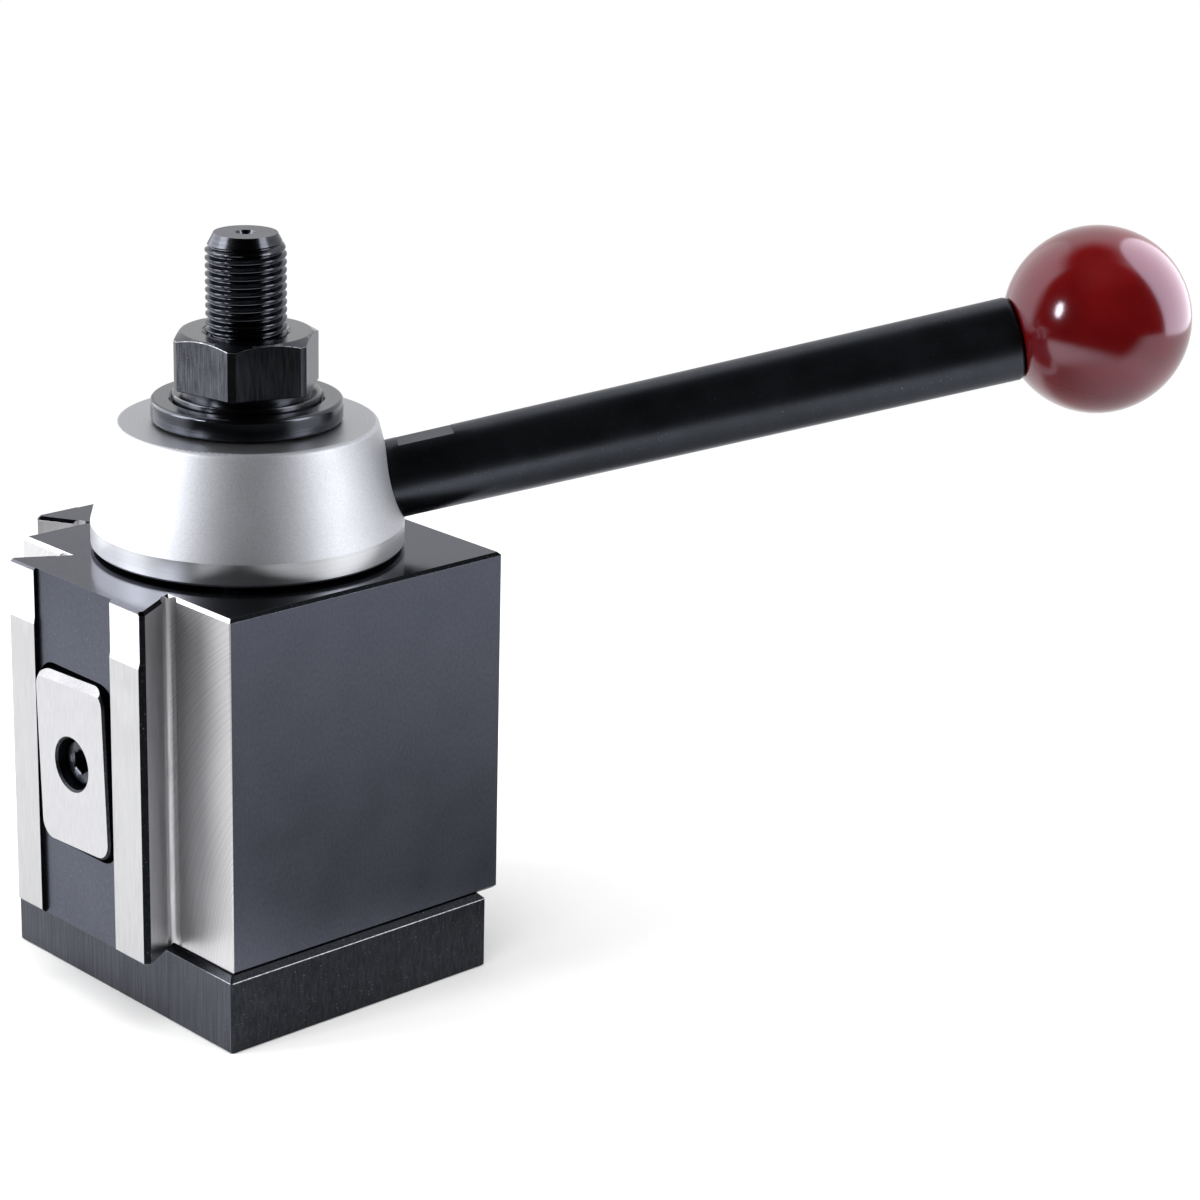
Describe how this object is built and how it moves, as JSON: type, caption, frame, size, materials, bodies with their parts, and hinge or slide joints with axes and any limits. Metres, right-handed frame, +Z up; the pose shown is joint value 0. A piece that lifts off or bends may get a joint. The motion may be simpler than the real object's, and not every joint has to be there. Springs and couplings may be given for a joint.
{
  "type": "lathe tool post",
  "caption": "Quick-change lathe tool post: square black body with dovetails and cam-driven pistons, conical hub, ball-ended handle, T-nut stud and flange nut.",
  "frame": {"origin": "on the stud's axis at the underside of the T-nut", "axes": "+Z up along the stud, -X out of the front dovetail, +Y out of the side dovetail"},
  "size_m": [0.181, 0.1434, 0.1355],
  "materials": {
    "black_steel": "satin",
    "gloss_black_steel": "gloss",
    "ground_steel": "ground",
    "hard_steel": "ground",
    "spring_steel": "satin",
    "satin_chrome": "satin",
    "red_ball": "gloss",
    "brass": "turned",
    "bearing_bronze": "turned",
    "seal_rubber": "matte"
  },
  "bodies": {
    "root": {"t_nut": "black_steel", "stud": "gloss_black_steel"},
    "post": {"post_body": "black_steel", "centre_sleeve": "hard_steel", "thrust_washer": "bearing_bronze", "retaining_wire": "spring_steel", "dust_seal": "seal_rubber", "stop_pin": "hard_steel", "front_spring": "spring_steel", "side_spring": "spring_steel"},
    "hub": {"cam_sleeve": "hard_steel", "hub_dowels": "hard_steel", "hub_cap": "satin_chrome", "handle_rod": "gloss_black_steel", "knob": "red_ball", "knob_insert": "brass"},
    "piston_a": {"front_plunger": "hard_steel", "front_shoe": "ground_steel", "front_screw": "gloss_black_steel"},
    "piston_b": {"side_plunger": "hard_steel", "side_shoe": "ground_steel", "side_screw": "gloss_black_steel"},
    "washer": {"flange_washer": "gloss_black_steel"},
    "nut": {"clamp_nut": "gloss_black_steel"}
  },
  "joints": [
    {"name": "post_swivel", "type": "hinge", "parent": "root", "child": "post", "pos_m": [0, 0, 0.0143], "axis": [0, 0, 1], "continuous": true},
    {"name": "handle_turn", "type": "hinge", "parent": "post", "child": "hub", "pos_m": [0, 0, 0.085], "axis": [0, 0, -1], "range_deg": [0, 60]},
    {"name": "front_piston_slide", "type": "slide", "parent": "post", "child": "piston_a", "axis": [-1, 0, 0], "range_m": [0, 0.0012]},
    {"name": "side_piston_slide", "type": "slide", "parent": "post", "child": "piston_b", "axis": [0, 1, 0], "range_m": [0, 0.0012]},
    {"name": "nut_lift", "type": "slide", "parent": "root", "child": "washer", "axis": [0, 0, 1], "range_m": [0, 0.00423]},
    {"name": "nut_turn", "type": "hinge", "parent": "washer", "child": "nut", "pos_m": [0, 0, 0.1062], "axis": [0, 0, 1], "range_deg": [0, 1080]}
  ],
  "couplings": [
    {"joint": "front_piston_slide", "follows": "handle_turn", "m_per_rad": 0.001145},
    {"joint": "side_piston_slide", "follows": "handle_turn", "m_per_rad": 0.001145},
    {"joint": "nut_turn", "follows": "nut_lift", "rad_per_m": 4452.6}
  ]
}
